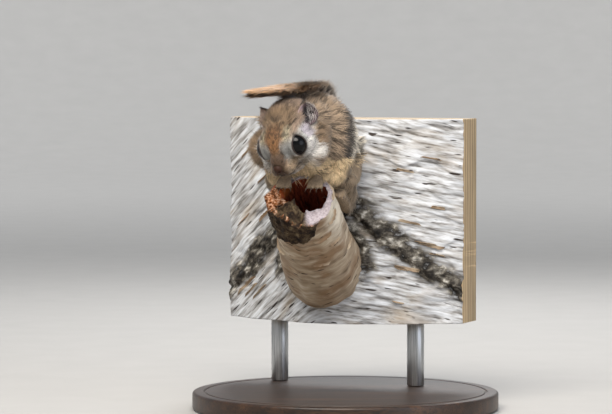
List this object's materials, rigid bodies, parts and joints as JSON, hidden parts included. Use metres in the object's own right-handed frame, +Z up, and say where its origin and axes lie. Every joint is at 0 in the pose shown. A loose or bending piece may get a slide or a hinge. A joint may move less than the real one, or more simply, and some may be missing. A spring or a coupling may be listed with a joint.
{
  "type": "flying squirrel",
  "caption": "Small grey-brown flying squirrel crouched on a broken, hollow birch stub, flat tail over its back, on a round display base with rods.",
  "frame": {"origin": "centre of the underside of the stand's round base, on the floor", "axes": "+Z up, the squirrel faces -Y with its head turned a little to -X, and its left side is towards +X"},
  "size_m": [0.14, 0.14, 0.1499],
  "materials": {
    "fur_grey_brown": "soft short fur, grey-brown with a rusty forehead and pale cheeks",
    "fur_cream": "soft short cream fur along the edge of the flight skin",
    "fur_tail_buff": "long soft tail hair, buff with an orange tinge",
    "ear_skin": "thin bare skin with sparse short hairs",
    "paw_skin": "soft bare skin with short hairs and horn claws",
    "eye_black": "wet, glossy black",
    "birch_bark": "white papery bark with grey and brown patches, split wood at the cuts",
    "stand_wood": "dark stained, satin",
    "stand_steel": "brushed"
  },
  "bodies": {
    "root": {"head": "fur_grey_brown", "neck": "fur_grey_brown", "torso": "fur_grey_brown", "arm_left": "fur_grey_brown", "arm_right": "fur_grey_brown", "thigh_left": "fur_grey_brown", "thigh_right": "fur_grey_brown", "shin_left": "fur_grey_brown", "shin_right": "fur_grey_brown", "flight_skin_left": "fur_cream", "flight_skin_right": "fur_cream", "tail_root": "fur_tail_buff", "tail_middle": "fur_tail_buff", "tail_tip": "fur_tail_buff", "ear_left": "ear_skin", "ear_right": "ear_skin", "hand_left": "paw_skin", "hand_right": "paw_skin", "foot_left": "paw_skin", "foot_right": "paw_skin", "eye_left": "eye_black", "eye_right": "eye_black", "perch_stub": "birch_bark", "perch_trunk": "birch_bark", "stand_base": "stand_wood", "stand_rod_left": "stand_steel", "stand_rod_right": "stand_steel"}
  },
  "joints": []
}
